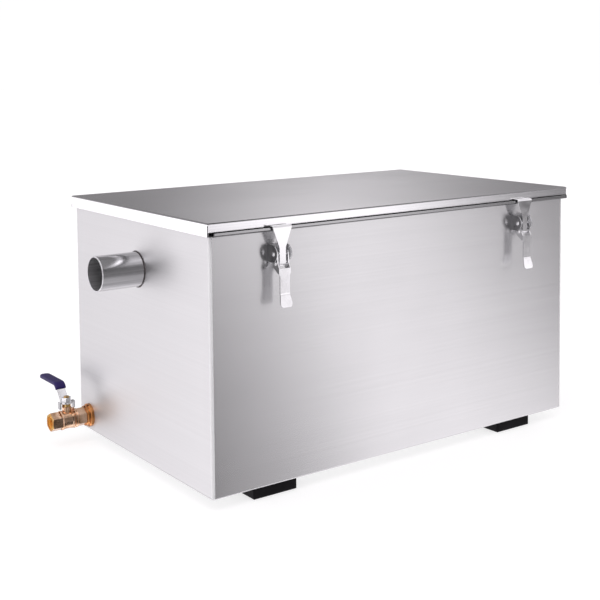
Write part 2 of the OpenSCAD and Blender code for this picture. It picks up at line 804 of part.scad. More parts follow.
// Side view of the lever's sheet: the flat face, a bend and the tip that stands out
module lever_sheet() {
  top = -link_l - window_gap;
  bend_at = [lever_out + tip_bend_r, -lever_drop];
  steps = 6;
  tip = tip_l * [sin(tip_angle), -cos(tip_angle)];
  front = [for (i = [0 : steps]) bend_at + bend_point(tip_bend_r, i / steps)];
  back = [for (i = [steps : -1 : 0]) bend_at + bend_point(tip_bend_r + latch_t, i / steps)];
  polygon(concat(
    [[lever_out - latch_t, top], [lever_out, top]],
    front, [front[steps] + tip, back[0] + tip], back
  ));
}

// Front view of the lever's sheet: full width at the window, a waist, and a round tip
module lever_front() {
  half = lever_outer_w / 2;
  waist = half - 1.7;
  end_w = half - 0.3;
  shoulder_z = -link_l - window_gap - shoulder_l;
  tip_r = 4.5;
  bend_z = -lever_drop - (tip_bend_r + latch_t) * sin(tip_angle);
  tip_z = bend_z - tip_l * cos(tip_angle);
  union() {
    polygon([
      [-half, 0], [-half, shoulder_z], [-waist, shoulder_z - 3], [-waist, bend_z - 1],
      [-end_w, bend_z - tip_l / 2], [-end_w, tip_z + tip_r], [end_w, tip_z + tip_r],
      [end_w, bend_z - tip_l / 2], [waist, bend_z - 1], [waist, shoulder_z - 3],
      [half, shoulder_z], [half, 0]
    ]);
    translate([-end_w + tip_r, tip_z]) square([2 * (end_w - tip_r), 2 * tip_r]);
    for (side = [-1, 1]) translate([side * (end_w - tip_r), tip_z + tip_r]) circle(tip_r);
  }
}

// Side view of one of the lever's side walls: an ear on the pivot, low beside the window
module lever_wall() {
  face_top = -link_l - window_gap;
  wall_end = face_top - shoulder_l;
  widen = 0.4;
  translate([pivot_out, 0]) circle(lever_ear_r);
  polygon([
    [pivot_out - lever_ear_r, 0], [pivot_out + lever_ear_r, 0],
    [pivot_out + lever_ear_r + widen, -link_l], [lever_out, face_top], [lever_out, wall_end],
    [lever_out - 2 * latch_t, wall_end], [pivot_out - lever_ear_r - widen, -link_l - lever_ear_r]
  ]);
}

// One folded sheet: two side walls on the pins, and a face with a bent tip for the thumb
module latch_lever(corner) {
  color(POLISHED) at_latch(corner) difference() {
    union() {
      intersection() {
        across(lever_outer_w) lever_sheet();
        outwards(over + lever_out) lever_front();
      }
      for (side = [-1, 1]) translate([side * (lever_outer_w - latch_t) / 2, 0, 0])
        across(latch_t) lever_wall();
    }
    translate([0, -pivot_out, 0]) rotate([0, 90, 0])
      cylinder(r = pivot_pin_r + pin_play, h = over, center = true);
    translate([0, -pivot_out, -link_l]) rotate([0, 90, 0])
      cylinder(r = link_pin_r + pin_play, h = over, center = true);
  }
}

// Side view of the hook: a curl round its pin, a straight stem and a lip bent over the rail
module hook_side() {
  front = hook_back + hook_t;
  bend_out = hook_bend_r + hook_t;
  bend_at = [hook_back - hook_bend_r, hook_top - bend_out];
  union() {
    translate([pivot_out, -link_l]) circle(curl_r);
    translate([hook_back, -link_l]) square([hook_t, link_l + bend_at[1]]);
    translate(bend_at) intersection() {
      difference() {
        circle(bend_out);
        circle(hook_bend_r);
      }
      square(2 * bend_out);
    }
    translate([lip_in, hook_top - hook_t]) square([bend_at[0] - lip_in, hook_t]);
  }
}

// Front view of the hook: a narrow stem that widens to the lip
module hook_front() {
  half = stem_w / 2;
  neck_z = pivot_pin_r + 6;
  polygon([
    [-half, -link_l - over / 2], [half, -link_l - over / 2], [half, neck_z],
    [hook_w / 2, hook_top - hook_t], [hook_w / 2, hook_top + 1],
    [-hook_w / 2, hook_top + 1], [-hook_w / 2, hook_top - hook_t], [-half, neck_z]
  ]);
}

module latch_hook(corner) {
  color(POLISHED) at_latch(corner) difference() {
    intersection() {
      across(hook_w) hook_side();
      outwards(over) hook_front();
    }
    translate([0, -pivot_out, -link_l]) rotate([0, 90, 0])
      cylinder(r = link_pin_r + pin_play, h = over, center = true);
  }
}

module latch_pivot_pin(corner) {
  color(POLISHED) at_latch(corner) translate([0, -pivot_out, 0]) latch_pin(pivot_pin_r, base_w);
}

module latch_link_pin(corner) {
  color(POLISHED) at_latch(corner) translate([0, -pivot_out, -link_l])
    latch_pin(link_pin_r, lever_outer_w);
}

tank();
tank_end_inlet();
tank_end_outlet();
lid();
lid_seal();
inlet_pipe();
outlet_pipe();
outlet_dip_pipe();
strainer_basket();
basket_ledge_front();
basket_ledge_back();
inlet_baffle();
outlet_baffle();
drain_nipple();
drain_washer();
drain_locknut();
valve_end_cap();
valve_body();
valve_seat_inner();
valve_seat_outer();
valve_ball();
valve_stem();
valve_gland_nut();
valve_lever();
valve_grip();
valve_lever_nut();
for (corner = LATCHES) {
  foot(corner);
  latch_base(corner);
  latch_lever(corner);
  latch_hook(corner);
  latch_pivot_pin(corner);
  latch_link_pin(corner);
}
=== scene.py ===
import math

import bpy
import numpy as np
from mathutils import Matrix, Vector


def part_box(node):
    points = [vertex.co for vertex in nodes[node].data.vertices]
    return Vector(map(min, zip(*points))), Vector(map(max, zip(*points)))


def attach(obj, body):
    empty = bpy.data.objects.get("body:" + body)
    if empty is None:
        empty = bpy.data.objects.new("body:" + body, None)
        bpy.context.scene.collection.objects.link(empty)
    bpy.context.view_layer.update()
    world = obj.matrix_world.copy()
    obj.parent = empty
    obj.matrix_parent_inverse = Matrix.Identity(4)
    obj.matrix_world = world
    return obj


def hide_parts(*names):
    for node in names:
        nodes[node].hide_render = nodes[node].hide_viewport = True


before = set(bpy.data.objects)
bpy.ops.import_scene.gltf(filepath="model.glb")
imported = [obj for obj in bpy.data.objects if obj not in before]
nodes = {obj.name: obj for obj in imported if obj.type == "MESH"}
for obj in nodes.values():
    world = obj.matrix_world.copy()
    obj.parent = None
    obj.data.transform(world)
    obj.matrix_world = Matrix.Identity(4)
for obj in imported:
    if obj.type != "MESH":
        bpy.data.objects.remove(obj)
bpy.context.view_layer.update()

MM = 0.001

# Helpers for node materials. Noises and masks are read in the piece's own frame, so they move
# with it.

# Inputs A and B and the output of a mix node, for each kind of value
MIX_SOCKETS = {"FLOAT": (2, 3, 0), "RGBA": (6, 7, 2)}


def place(tree, kind, where=(0, 0), **values):
    """One shader node, with its settings and its unlinked inputs given by name."""
    made = tree.nodes.new(kind)
    made.location = where
    for name, value in values.items():
        if hasattr(made, name):
            setattr(made, name, value)
        else:
            made.inputs[name.replace("_", " ")].default_value = value
    return made


def feed(tree, value, socket):
    """Gives a socket a constant, or links it to another node's output."""
    if isinstance(value, bpy.types.NodeSocket):
        tree.links.new(value, socket)
    else:
        socket.default_value = value


def mix(tree, kind, factor, first, second, where, **settings):
    """Mixes two numbers or two colours by a factor. All three are constants or outputs."""
    made = place(tree, "ShaderNodeMix", where, data_type=kind, **settings)
    a, b, out = MIX_SOCKETS[kind]
    feed(tree, factor, made.inputs[0])
    feed(tree, first, made.inputs[a])
    feed(tree, second, made.inputs[b])
    return made.outputs[out]


def noise(tree, scale, detail, roughness):
    """A noise in the piece's own frame."""
    coords = place(tree, "ShaderNodeTexCoord", (-900, 0))
    made = place(tree, "ShaderNodeTexNoise", (-600, 0), Scale=scale, Detail=detail, Roughness=roughness)
    tree.links.new(coords.outputs["Object"], made.inputs["Vector"])
    return made.outputs[0]


def spread(tree, source, low, high, from_low=0.25, from_high=0.75):
    """Maps a noise's useful span onto low to high."""
    ranged = place(tree, "ShaderNodeMapRange", (-320, 0))
    ranged.inputs["From Min"].default_value = from_low
    ranged.inputs["From Max"].default_value = from_high
    ranged.inputs["To Min"].default_value = low
    ranged.inputs["To Max"].default_value = high
    tree.links.new(source, ranged.inputs["Value"])
    return ranged.outputs["Result"]


def new_finish(name):
    """An empty node material with a Principled shader wired to its output."""
    material = bpy.data.materials.new(name)
    material.use_nodes = True
    tree = material.node_tree
    tree.nodes.clear()
    out = place(tree, "ShaderNodeOutputMaterial", (700, 0))
    shader = place(tree, "ShaderNodeBsdfPrincipled", (400, 0))
    tree.links.new(shader.outputs["BSDF"], out.inputs["Surface"])
    return material, tree, shader


def shader_of(material):
    """The Principled shader of a finish."""
    return material.node_tree.nodes["Principled BSDF"]


def two_tone(tree, shader, source, span, dark, light):
    """Base colour from dark to light, as a noise goes through its span."""
    tone = spread(tree, source, 0.0, 1.0, *span)
    mixed = mix(tree, "RGBA", tone, (*dark, 1), (*light, 1), (0, 160))
    tree.links.new(mixed, shader.inputs["Base Color"])


def relief(tree, shader, source, strength, depth):
    """Raises the surface by a noise."""
    bump = place(tree, "ShaderNodeBump", (100, -220), Strength=strength, Distance=depth)
    tree.links.new(source, bump.inputs["Height"])
    tree.links.new(bump.outputs["Normal"], shader.inputs["Normal"])


def dress(material, *names):
    """Puts one finish on the CAD pieces of those names."""
    for name in names:
        slots = nodes[name].data.materials
        slots.clear()
        slots.append(material)


def grey(value):
    """A neutral colour."""
    return (value, value, value)


def stain_and_painted_light(material, mask, colour):
    """Multiplies a finish's base colour by a colour where the mask is 1; used for stains and for painted
    light and shade.
    """
    tree = material.node_tree
    socket = shader_of(material).inputs["Base Color"]
    before = socket.links[0].from_socket
    mixed = mix(tree, "RGBA", mask, before, (*colour, 1), (220, 160), blend_type="MULTIPLY")
    tree.links.new(mixed, socket)


def patch(material, mask, name, value):
    """Sets one number of a finish, such as its roughness, where the mask is 1."""
    tree = material.node_tree
    socket = shader_of(material).inputs[name]
    before = socket.links[0].from_socket if socket.is_linked else socket.default_value
    tree.links.new(mix(tree, "FLOAT", mask, before, value, (220, -120)), socket)


def distance(tree, axis, middle):
    """How far a point lies from a middle on one axis."""
    coords = place(tree, "ShaderNodeTexCoord", (-900, -600))
    axes = place(tree, "ShaderNodeSeparateXYZ", (-720, -600))
    off = place(tree, "ShaderNodeMath", (-540, -600), operation="SUBTRACT")
    far = place(tree, "ShaderNodeMath", (-360, -600), operation="ABSOLUTE")
    off.inputs[1].default_value = middle
    tree.links.new(coords.outputs["Object"], axes.inputs[0])
    tree.links.new(axes.outputs[axis], off.inputs[0])
    tree.links.new(off.outputs[0], far.inputs[0])
    return far.outputs[0]


def beyond(tree, axis, middle, half, soft):
    """Mask of what lies further than half from a middle on one axis."""
    return spread(tree, distance(tree, axis, middle), 0.0, 1.0, half - soft, half + soft)


def within(tree, axis, middle, half, soft):
    """Mask of what lies nearer than half to a middle on one axis."""
    return spread(tree, distance(tree, axis, middle), 1.0, 0.0, half - soft, half + soft)


def around(tree, axis_y, axis_z, radius, soft):
    """Mask of what lies within a radius of an axis that runs along X."""
    coords = place(tree, "ShaderNodeTexCoord", (-900, -900))
    flat = place(tree, "ShaderNodeVectorMath", (-720, -900), operation="MULTIPLY")
    reach = place(tree, "ShaderNodeVectorMath", (-540, -900), operation="DISTANCE")
    flat.inputs[1].default_value = (0, 1, 1)
    reach.inputs[1].default_value = (0, axis_y, axis_z)
    tree.links.new(coords.outputs["Object"], flat.inputs[0])
    tree.links.new(flat.outputs[0], reach.inputs[0])
    return spread(tree, reach.outputs["Value"], 1.0, 0.0, radius - soft, radius + soft)


def overlap(tree, *masks):
    """Where all the masks are 1."""
    made = masks[0]
    for mask in masks[1:]:
        product = place(tree, "ShaderNodeMath", (0, -600), operation="MULTIPLY")
        tree.links.new(made, product.inputs[0])
        tree.links.new(mask, product.inputs[1])
        made = product.outputs[0]
    return made


def middle_and_half(name):
    """The middle of a CAD piece's box, and half its size."""
    low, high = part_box(name)
    return (low + high) / 2, (high - low) / 2


# Tank: a stainless sheet, 1.2 mm thick, folded into bottom, front and back, and two end panels
# with folded edges, welded on at both ends. The hairline finish runs level round all four walls.
# The end panels' welded edges carry a painted highlight, made lighter, rougher and less metallic,
# and the inlet end is rubbed dull round the drain.

# Width of the painted highlight along an end panel's edge
EDGE_HIGHLIGHT_W = 3.2 * MM
# Radius of the rubbed patch round the drain, and half the width of its soft edge
RUBBED_R = 55 * MM
RUBBED_SOFT = 35 * MM


def hairline_group():
    """Hairlines: noise stretched along the grain by the given vector, in a fine and a broad layer.

    Streak is the two layers mixed, about 0.5 in the mean; Cloud is a slow unstretched noise for
    handling marks and uneven rubbing.
    """
    group = bpy.data.node_groups.new("hairline", "ShaderNodeTree")
    face = group.interface
    face.new_socket("Vector", in_out="INPUT", socket_type="NodeSocketVector")
    face.new_socket("Streak", in_out="OUTPUT", socket_type="NodeSocketFloat")
    face.new_socket("Cloud", in_out="OUTPUT", socket_type="NodeSocketFloat")
    start = place(group, "NodeGroupInput", (-700, 0))
    end = place(group, "NodeGroupOutput", (500, 0))
    fine = place(group, "ShaderNodeTexNoise", (-400, 200), Scale=1.0, Detail=3.0, Roughness=0.7)
    coarse = place(group, "ShaderNodeVectorMath", (-560, -60), operation="MULTIPLY")
    coarse.inputs[1].default_value = (0.35, 0.06, 0.06)
    broad = place(group, "ShaderNodeTexNoise", (-400, -60), Scale=1.0, Detail=2.0, Roughness=0.5)
    group.links.new(start.outputs["Vector"], fine.inputs["Vector"])
    group.links.new(start.outputs["Vector"], coarse.inputs[0])
    group.links.new(coarse.outputs[0], broad.inputs["Vector"])
    both = mix(group, "FLOAT", 0.35, fine.outputs[0], broad.outputs[0], (0, 100))
    group.links.new(both, end.inputs["Streak"])
    group.links.new(noise(group, 7.0, 4.0, 0.55), end.inputs["Cloud"])
    return group


hairline = hairline_group()
STREAK_SPAN = (0.3, 0.7)


def grained(name, grain, dark, light, strength, depth):
    """Steel with hairlines in tone and relief, stretched by the grain. Returns the lines too."""
    material, tree, shader = new_finish(name)
    coords = place(tree, "ShaderNodeTexCoord", (-900, 0))
    stretch = place(tree, "ShaderNodeMapping", (-720, 0), Scale=grain)
    lines = place(tree, "ShaderNodeGroup", (-540, 0), node_tree=hairline)
    tree.links.new(coords.outputs["Object"], stretch.inputs["Vector"])
    tree.links.new(stretch.outputs["Vector"], lines.inputs["Vector"])
    two_tone(tree, shader, lines.outputs["Streak"], STREAK_SPAN, dark, light)
    relief(tree, shader, lines.outputs["Streak"], strength, depth)
    shader.inputs["Metallic"].default_value = 1.0
    return material, tree, shader, lines


def brushed(name, grain, dark, light, rough, across, anisotropy, strength=0.02):
    """Brushed stainless sheet: gloss in slow clouds, and light spread across the grain."""
    material, tree, shader, lines = grained(name, grain, dark, light, strength, 0.4 * MM)
    tangent = place(tree, "ShaderNodeCombineXYZ", (100, -420), X=across[0], Y=across[1], Z=across[2])
    tree.links.new(spread(tree, lines.outputs["Cloud"], *rough), shader.inputs["Roughness"])
    tree.links.new(tangent.outputs["Vector"], shader.inputs["Tangent"])
    shader.inputs["Anisotropic"].default_value = anisotropy
    return material


tank_sheet = {
    "grain": (1.6, 1.6, 700),
    "dark": (0.615, 0.615, 0.62),
    "light": (0.65, 0.65, 0.655),
    "across": (0, 0, 1),
    "strength": 0.008,
}
wall_sheet = brushed("wall_sheet", rough=(0.21, 0.26), anisotropy=0.8, **tank_sheet)
dress(wall_sheet, "tank")
end_sheet = brushed("end_sheet", rough=(0.42, 0.48), anisotropy=0.3, **tank_sheet)
end_tree = end_sheet.node_tree
end_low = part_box("tank_end_inlet")[0]
end_mid, end_half = middle_and_half("tank_end_inlet")
# Painted highlight: the panel's edges are lightened and made rougher and less metallic.
edge_highlight = beyond(end_tree, "Y", end_mid.y, end_half.y - EDGE_HIGHLIGHT_W, 0.4 * MM)
stain_and_painted_light(end_sheet, edge_highlight, grey(1.3))
patch(end_sheet, edge_highlight, "Roughness", 0.75)
patch(end_sheet, edge_highlight, "Metallic", 0.5)
drain_mid = middle_and_half("drain_nipple")[0]
rubbed_round = overlap(
    end_tree,
    within(end_tree, "X", end_low.x, 20 * MM, 1 * MM),
    around(end_tree, drain_mid.y, drain_mid.z, RUBBED_R, RUBBED_SOFT),
)
patch(end_sheet, rubbed_round, "Metallic", 0.55)
dress(end_sheet, "tank_end_inlet", "tank_end_outlet")

# Inlet and outlet stubs: seamless stainless tube, 50 mm, rubbed along its length and welded into
# the end walls. Painted shadow darkens the tube at the weld, the cut end is bright and the bore is
# duller than the outside. The dip pipe inside the outlet is of the same tube.

# Height of the painted shadow at the weld, over the end panel
WELD_SHADOW_H = 1.7 * MM
# Width of the bright ring at the cut end
CUT_RING = 1.1 * MM
# Radius that parts the bore from the outside
BORE_R = 24 * MM


def rubbed(name, grain, dark, light, rough):
    """Polished steel with rubbing marks: hairlines in tone, gloss and relief."""
    material, tree, shader, lines = grained(name, grain, dark, light, 0.03, 0.3 * MM)
    gloss = spread(tree, lines.outputs["Streak"], rough[1], rough[0], *STREAK_SPAN)
    tree.links.new(gloss, shader.inputs["Roughness"])
    return material


far_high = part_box("tank_end_outlet")[1]
tank_mid = (end_low.x + far_high.x) / 2
tank_half = (far_high.x - end_low.x) / 2
TUBE_GRAIN = (5, 260, 260)


def tube_finish(name, pipe):
    """Rubbed tube along X, with painted shadow as far as its weld, and dull inside its bore."""
    material = rubbed(name, TUBE_GRAIN, (0.36, 0.36, 0.37), (0.76, 0.76, 0.77), (0.13, 0.24))
    tree = material.node_tree
    low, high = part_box(pipe)
    # Painted shadow: the tube is darkened where it meets the end wall.
    weld = within(tree, "X", tank_mid, tank_half + WELD_SHADOW_H, 0.2 * MM)
    stain_and_painted_light(material, weld, (0.10, 0.09, 0.09))
    reach = max(high.x - tank_mid, tank_mid - low.x)
    cut_end = beyond(tree, "X", tank_mid, reach - CUT_RING, 0.2 * MM)
    stain_and_painted_light(material, cut_end, grey(1.2))
    patch(material, cut_end, "Roughness", 0.5)
    bore = around(tree, (low.y + high.y) / 2, (low.z + high.z) / 2, BORE_R, 0.3 * MM)
    patch(material, bore, "Roughness", 0.34)
    patch(material, bore, "Metallic", 0.86)
    return material


dress(tube_finish("inlet_tube", "inlet_pipe"), "inlet_pipe")
dress(tube_finish("outlet_tube", "outlet_pipe"), "outlet_pipe")
bore_polish = rubbed("bore_polish", TUBE_GRAIN, (0.50, 0.50, 0.51), (0.66, 0.66, 0.67), (0.24, 0.36))
dress(bore_polish, "outlet_dip_pipe")

# Inside the tank: a lift-out strainer with punched slots on two angle strips, and two baffles
# with folded sides. All are cut from the same mill-finished sheet, duller than the outside.
inner_sheet = brushed(
    "inner_sheet",
    grain=(1.6, 1.6, 500),
    dark=(0.50, 0.50, 0.51),
    light=(0.60, 0.60, 0.60),
    rough=(0.34, 0.44),
    across=(0, 0, 1),
    anisotropy=0.4,
)
dress(inner_sheet, "strainer_basket", "basket_ledge_front", "basket_ledge_back")
dress(inner_sheet, "inlet_baffle", "outlet_baffle")

# Feet: moulded black rubber blocks glued under the floor of the tank. The skin is smooth with
# a fine mould grain and a faint grey bloom.


def rubber(name, dark, light, rough):
    """Moulded rubber: a dark skin with a fine mould grain and a slow pale bloom."""
    material, tree, shader = new_finish(name)
    grain = noise(tree, 900.0, 2.0, 0.6)
    bloom = noise(tree, 28.0, 4.0, 0.6)
    two_tone(tree, shader, bloom, (0.35, 0.75), dark, light)
    tree.links.new(spread(tree, grain, *rough), shader.inputs["Roughness"])
    relief(tree, shader, grain, 0.12, 0.3 * MM)
    shader.inputs["Specular IOR Level"].default_value = 0.12
    return material


foot_rubber = rubber("foot_rubber", (0.004, 0.0035, 0.0045), (0.010, 0.009, 0.011), (0.55, 0.70))
dress(foot_rubber, "foot_front_left", "foot_front_right", "foot_back_left", "foot_back_right")

# Drain nipple: a turned copper-coloured brass tube with a stepped flange, pulled against the
# wall by a lock nut and a rubber washer on the inside.


def turned_brass(name, dark, light, rough, scale, strength):
    """Cast or turned brass: a fine grain in gloss and relief, and darker tarnish in slow patches."""
    material, tree, shader = new_finish(name)
    grain = noise(tree, scale, 3.0, 0.65)
    tarnish = noise(tree, 70.0, 5.0, 0.6)
    two_tone(tree, shader, tarnish, (0.3, 0.62), dark, light)
    tree.links.new(spread(tree, grain, *rough), shader.inputs["Roughness"])
    relief(tree, shader, grain, strength, 0.3 * MM)
    shader.inputs["Metallic"].default_value = 1.0
    return material


nipple_brass = turned_brass(
    "nipple_brass", (0.34, 0.13, 0.037), (0.63, 0.285, 0.105), (0.10, 0.20), scale=700, strength=0.05
)
dress(nipple_brass, "drain_nipple", "drain_locknut")
washer_rubber = rubber("washer_rubber", (0.008, 0.008, 0.009), (0.018, 0.018, 0.019), (0.5, 0.6))
dress(washer_rubber, "drain_washer")

# Ball valve: a forged brass body and end cap, turned on their rings and hexagons and plated
# thinly, so that they look rosy. The open end is faced bare. The ball is polished and turns
# between two soft seats.
body_brass = turned_brass(
    "body_brass", (0.44, 0.25, 0.13), (0.85, 0.59, 0.42), (0.12, 0.22), scale=900, strength=0.05
)
body_low, body_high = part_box("valve_body")
body_l = body_high.x - body_low.x
faced_end = beyond(body_brass.node_tree, "X", body_high.x, body_l - 0.4 * MM, 0.2 * MM)
stain_and_painted_light(body_brass, faced_end, (1.45, 1.12, 0.42))
dress(body_brass, "valve_end_cap", "valve_body")
gland_brass = turned_brass(
    "gland_brass", (0.55, 0.34, 0.12), (0.74, 0.50, 0.22), (0.16, 0.26), scale=900, strength=0.05
)
dress(gland_brass, "valve_stem", "valve_gland_nut")
dress(bore_polish, "valve_ball")


def moulded(name, dark, light, rough, specular=0.5):
    """Plain moulded plastic with a faint flow pattern."""
    material, tree, shader = new_finish(name)
    flow = noise(tree, 60.0, 3.0, 0.5)
    two_tone(tree, shader, flow, (0.3, 0.7), dark, light)
    tree.links.new(spread(tree, flow, *rough), shader.inputs["Roughness"])
    shader.inputs["Specular IOR Level"].default_value = specular
    return material


seat_plastic = moulded("seat_plastic", (0.78, 0.76, 0.70), (0.88, 0.86, 0.80), (0.4, 0.5))
dress(seat_plastic, "valve_seat_inner", "valve_seat_outer")

# Pipe thread in the valve's open end: cut bare brass, partly painted light: its very bright base and
# low metallic stand in for light bouncing round the bore, so it looks brighter than the outside.

THREAD_TURNS = 6
THREAD_PITCH = 1.81 * MM
THREAD_ROOT_R = 9.26 * MM
THREAD_DEPTH = 1.0 * MM
# Distance of the first turn from the open end
THREAD_START = 0.6 * MM


def sheet_mesh(name, points, closed_u=False, closed_v=False):
    """A mesh from a grid of points, rows along u and columns along v, as smooth quads."""
    rows, cols = points.shape[:2]
    u = np.arange(rows if closed_u else rows - 1)
    v = np.arange(cols if closed_v else cols - 1)
    uu, vv = np.meshgrid(u, v, indexing="ij")
    u1, v1 = (uu + 1) % rows, (vv + 1) % cols
    corners = [uu * cols + vv, u1 * cols + vv, u1 * cols + v1, uu * cols + v1]
    quads = np.stack(corners, -1).reshape(-1, 4)
    mesh = bpy.data.meshes.new(name)
    mesh.from_pydata(points.reshape(-1, 3).tolist(), [], quads.tolist())
    mesh.polygons.foreach_set("use_smooth", np.ones(len(quads), bool))
    mesh.update()
    made = bpy.data.objects.new(name, mesh)
    bpy.context.scene.collection.objects.link(made)
    return made


def thread_surface():
    """Helix: x grows by one pitch a turn, and the radius falls from root to crest and back."""
    cap_low, cap_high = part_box("valve_end_cap")
    start = np.array([
        body_low.x + THREAD_START,
        (cap_low.y + cap_high.y) / 2,
        (cap_low.z + cap_high.z) / 2,
    ])
    last = 2 * np.pi * THREAD_TURNS
    angle = np.linspace(0, last, 56 * THREAD_TURNS)[:, None]
    step = np.linspace(0, 1, 7)[None, :]
    crest = np.clip(1.25 - np.abs(2 * step - 1) * 1.5, 0, 1)
    fade = np.clip(np.minimum(angle, last - angle) / np.pi, 0, 1)
    radius = THREAD_ROOT_R - THREAD_DEPTH * crest * fade
    x = THREAD_PITCH * (angle / (2 * np.pi) + step)
    return np.stack([x, radius * np.sin(angle), radius * np.cos(angle)], -1) + start


outlet_thread = sheet_mesh("outlet_thread", thread_surface())
thread_brass = turned_brass(
    "thread_brass", (0.96, 0.43, 0.05), (1.0, 0.55, 0.10), (0.16, 0.24), scale=600, strength=0.04
)
# Painted light: with little metallic, the bright base reads as light bouncing round the bore.
shader_of(thread_brass).inputs["Metallic"].default_value = 0.25
outlet_thread.data.materials.append(thread_brass)
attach(outlet_thread, "trap")

# Valve lever: a pressed and plated steel strip on the stem, held by a hexagon nut, with ears
# bent down at both sides as stops.
lever_plate = rubbed("lever_plate", (260, 6, 6), (0.80, 0.80, 0.81), (0.92, 0.92, 0.93), (0.14, 0.24))
dress(lever_plate, "valve_lever", "valve_lever_nut")

# Grip: soft vinyl dipped over the lever's upper half. It is thickest on the flat blade, follows
# the bend in a smooth curve, and ends in a round nose.


def grip_surface():
    """Sleeve on a path: each ring is a rounded rectangle, and the nose shrinks as a half circle.

    The path climbs at the lever's slope, turns in an arc and runs level to the nose. A ring at
    path length s has half width a(s) along X and half thickness b(s) across the path.
    """
    grip_low, grip_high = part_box("valve_grip")
    middle_x = (grip_low.x + grip_high.x) / 2
    half_w = (grip_high.x - grip_low.x) / 2
    half_t = 3.25 * MM
    level_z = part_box("valve_lever")[1].z - 1.25 * MM
    slope = math.radians(52.55)
    arc_r = 10 * MM
    bend_y = grip_low.y + 8.0 * MM
    climb = 4.6 * MM
    lip_l = 1.2 * MM
    arc = arc_r * slope
    arc_y = bend_y + arc_r * math.tan(slope / 2)
    level = grip_high.y - bend_y - arc_r * math.tan(slope / 2)
    total = climb + arc + level
    nose = half_w * 0.92
    s = np.concatenate([
        np.linspace(0, climb, 10)[:-1],
        np.linspace(climb, climb + arc, 18)[:-1],
        np.linspace(climb + arc, total - nose, 24)[:-1],
        total - nose * (1 - np.sin(np.linspace(0, np.pi / 2, 22))),
    ])
    tilt = slope - np.clip((s - climb) / arc_r, 0, slope)
    before = np.minimum(s - climb, 0)
    after = np.maximum(s - climb - arc, 0)
    y = arc_y - arc_r * np.sin(tilt) + after + before * math.cos(slope)
    z = level_z - arc_r * (1 - np.cos(tilt)) + before * math.sin(slope)
    round_off = np.sqrt(np.clip(1 - np.clip((s - total + nose) / nose, 0, 1) ** 2, 0, 1))
    lip = 1 - 0.22 * np.clip(1 - s / lip_l, 0, 1) ** 2
    half_a = half_w * round_off * lip
    half_b = half_t * round_off ** 0.45 * lip
    angle = np.linspace(0, 2 * np.pi, 56, endpoint=False)[None, :]
    soft_x = np.sign(np.cos(angle)) * np.abs(np.cos(angle)) ** 0.42
    soft_n = np.sign(np.sin(angle)) * np.abs(np.sin(angle)) ** 0.62
    x = middle_x + half_a[:, None] * soft_x
    rise = half_b[:, None] * soft_n
    sin_tilt, cos_tilt = np.sin(tilt)[:, None], np.cos(tilt)[:, None]
    return np.stack([x, y[:, None] - rise * sin_tilt, z[:, None] + rise * cos_tilt], -1)


grip = sheet_mesh("dipped_grip", grip_surface(), closed_v=True)
grip_vinyl = moulded(
    "grip_vinyl", (0.014, 0.006, 0.080), (0.021, 0.010, 0.105), (0.30, 0.40), specular=0.25
)
grip.data.materials.append(grip_vinyl)
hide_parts("valve_grip")
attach(grip, "valve_handle")

# Lid: one folded sheet with the grain along its length. It lies on a rubber seal on the rim, and
# the skirt at the front and at the back ends in a rail that the latches pull on. Painted shade darkens
# the rail's hollow, its lip and most the lip's foot, and the top fold; a painted highlight lightens each
# skirt.

# Depth of the rail, and the height of its lip
RAIL_DEPTH = 8.4 * MM
RAIL_LIP = 5.0 * MM
# Depth of the skin on the lip's outer face, and the height of its foot, where the painted shade is
# darkest
LIP_SKIN = 0.3 * MM
LIP_FOOT = 2.0 * MM

seal_rubber = rubber("seal_rubber", (0.010, 0.010, 0.011), (0.020, 0.020, 0.021), (0.5, 0.62))
dress(seal_rubber, "lid_seal")
lid_sheet = brushed(
    "lid_sheet",
    grain=(1.6, 420, 420),
    dark=(0.72, 0.72, 0.73),
    light=(0.82, 0.82, 0.83),
    rough=(0.15, 0.20),
    across=(0, 1, 1),
    anisotropy=0.5,
)
lid_tree = lid_sheet.node_tree
lid_low, lid_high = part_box("lid")
lid_mid, lid_half = middle_and_half("lid")
groove_shadow = overlap(
    lid_tree,
    beyond(lid_tree, "Y", lid_mid.y, lid_half.y - RAIL_DEPTH, 0.1 * MM),
    within(lid_tree, "Y", lid_mid.y, lid_half.y - LIP_SKIN, 0.1 * MM),
    within(lid_tree, "Z", 0, lid_low.z + RAIL_LIP + 0.6 * MM, 0.2 * MM),
)
lip = beyond(lid_tree, "Y", lid_mid.y, lid_half.y - LIP_SKIN, 0.1 * MM)
lip_foot_shadow = overlap(lid_tree, lip, within(lid_tree, "Z", 0, lid_low.z + LIP_FOOT, 0.2 * MM))
top_fold_shade = within(lid_tree, "Z", lid_high.z - 1 * MM, 0.85 * MM, 0.1 * MM)
skirt_highlight = within(lid_tree, "Z", 0, lid_high.z - 2 * MM, 0.1 * MM)
# Painted shade in the rail's hollow, on its lip, darkest at the lip's foot, and along the top fold; a
# painted highlight on each skirt.
stain_and_painted_light(lid_sheet, groove_shadow, grey(0.15))
stain_and_painted_light(lid_sheet, lip, grey(0.46))
stain_and_painted_light(lid_sheet, lip_foot_shadow, grey(0.25))
stain_and_painted_light(lid_sheet, top_fold_shade, grey(0.30))
stain_and_painted_light(lid_sheet, skirt_highlight, grey(1.15))
dress(lid_sheet, "lid")

# Latches: pressed stainless, tumbled and polished. The hook swings on the lower pin of the lever,
# and the lever swings on a pin through the cheeks of its base. The base's dark tone is painted shade,
# kept on the cheeks' outer faces; within them the base is lightened, less metallic and rougher.
# A painted highlight lightens the lever's tip.

# Height of the painted highlight on the lever's tip
TIP_H = 15.5 * MM
# Depth of the painted shade on the outside of a cheek
CHEEK_SHADE_DEPTH = 0.6 * MM


